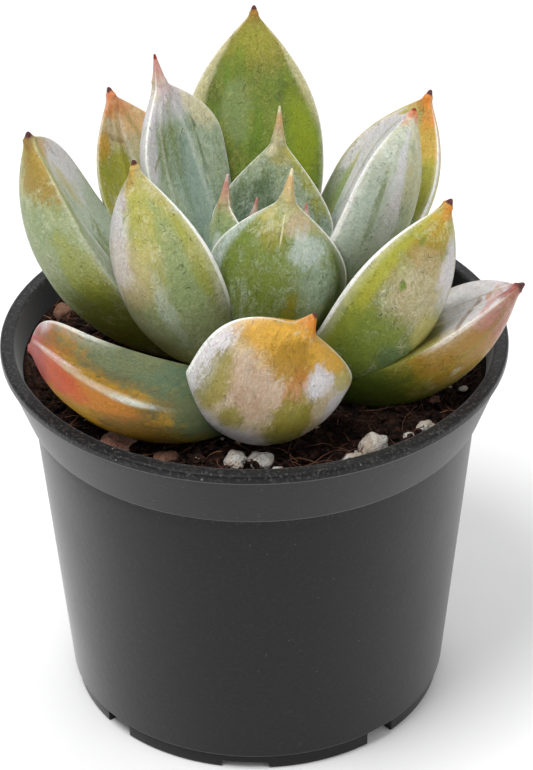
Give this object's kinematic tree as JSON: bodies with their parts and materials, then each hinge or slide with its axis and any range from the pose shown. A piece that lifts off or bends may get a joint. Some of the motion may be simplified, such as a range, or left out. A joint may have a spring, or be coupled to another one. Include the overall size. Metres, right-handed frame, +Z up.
{
  "type": "potted echeveria",
  "caption": "Thick-leaved rosette succulent standing in potting mix in a round black nursery pot, with small stones on the mix.",
  "frame": {"origin": "centre of the pot's foot, on the surface that the pot stands on", "axes": "+Z up along the pot's axis; the rosette is looked at from -Y"},
  "size_m": [0.107, 0.105, 0.1437],
  "materials": {
    "pot_plastic": "matt black moulded plastic with dust and faint scuffs",
    "potting_mix": "damp dark peat and coir crumbs with short fibres",
    "stem_skin": "dull green stem skin",
    "aged_leaf": "waxy leaf skin turning gold and red under a rubbed pale bloom",
    "outer_leaf": "waxy olive green leaf skin under a rubbed pale bloom",
    "inner_leaf": "waxy blue green leaf skin under a pale bloom",
    "stone": "rough grit and pumice"
  },
  "bodies": {
    "root": {"pot": "pot_plastic", "potting_mix": "potting_mix", "stem": "stem_skin", "leaf_front_low": "aged_leaf", "leaf_right_low": "aged_leaf", "leaf_left_low": "aged_leaf", "leaf_left": "outer_leaf", "leaf_left_front": "outer_leaf", "leaf_right_front": "outer_leaf", "leaf_back": "outer_leaf", "leaf_left_back": "outer_leaf", "leaf_right_back": "outer_leaf", "leaf_back_left_low": "outer_leaf", "leaf_back_right_low": "outer_leaf", "leaf_back_low": "outer_leaf", "leaf_front": "inner_leaf", "leaf_inner_left": "inner_leaf", "leaf_inner_right": "inner_leaf", "leaf_inner_back": "inner_leaf", "leaf_heart_left": "inner_leaf", "leaf_heart_right": "inner_leaf", "leaf_heart_back": "inner_leaf", "leaf_heart_front": "inner_leaf", "leaf_bud_right": "inner_leaf", "leaf_bud_left": "inner_leaf", "stone_pink": "stone", "stone_chip": "stone", "stone_front_left": "stone", "stone_front": "stone", "stone_front_small": "stone", "stone_right_large": "stone", "stone_right_flat": "stone", "stone_right_small": "stone", "stone_right_tiny": "stone", "stone_right_brown": "stone", "stone_left_back": "stone"}
  },
  "joints": []
}
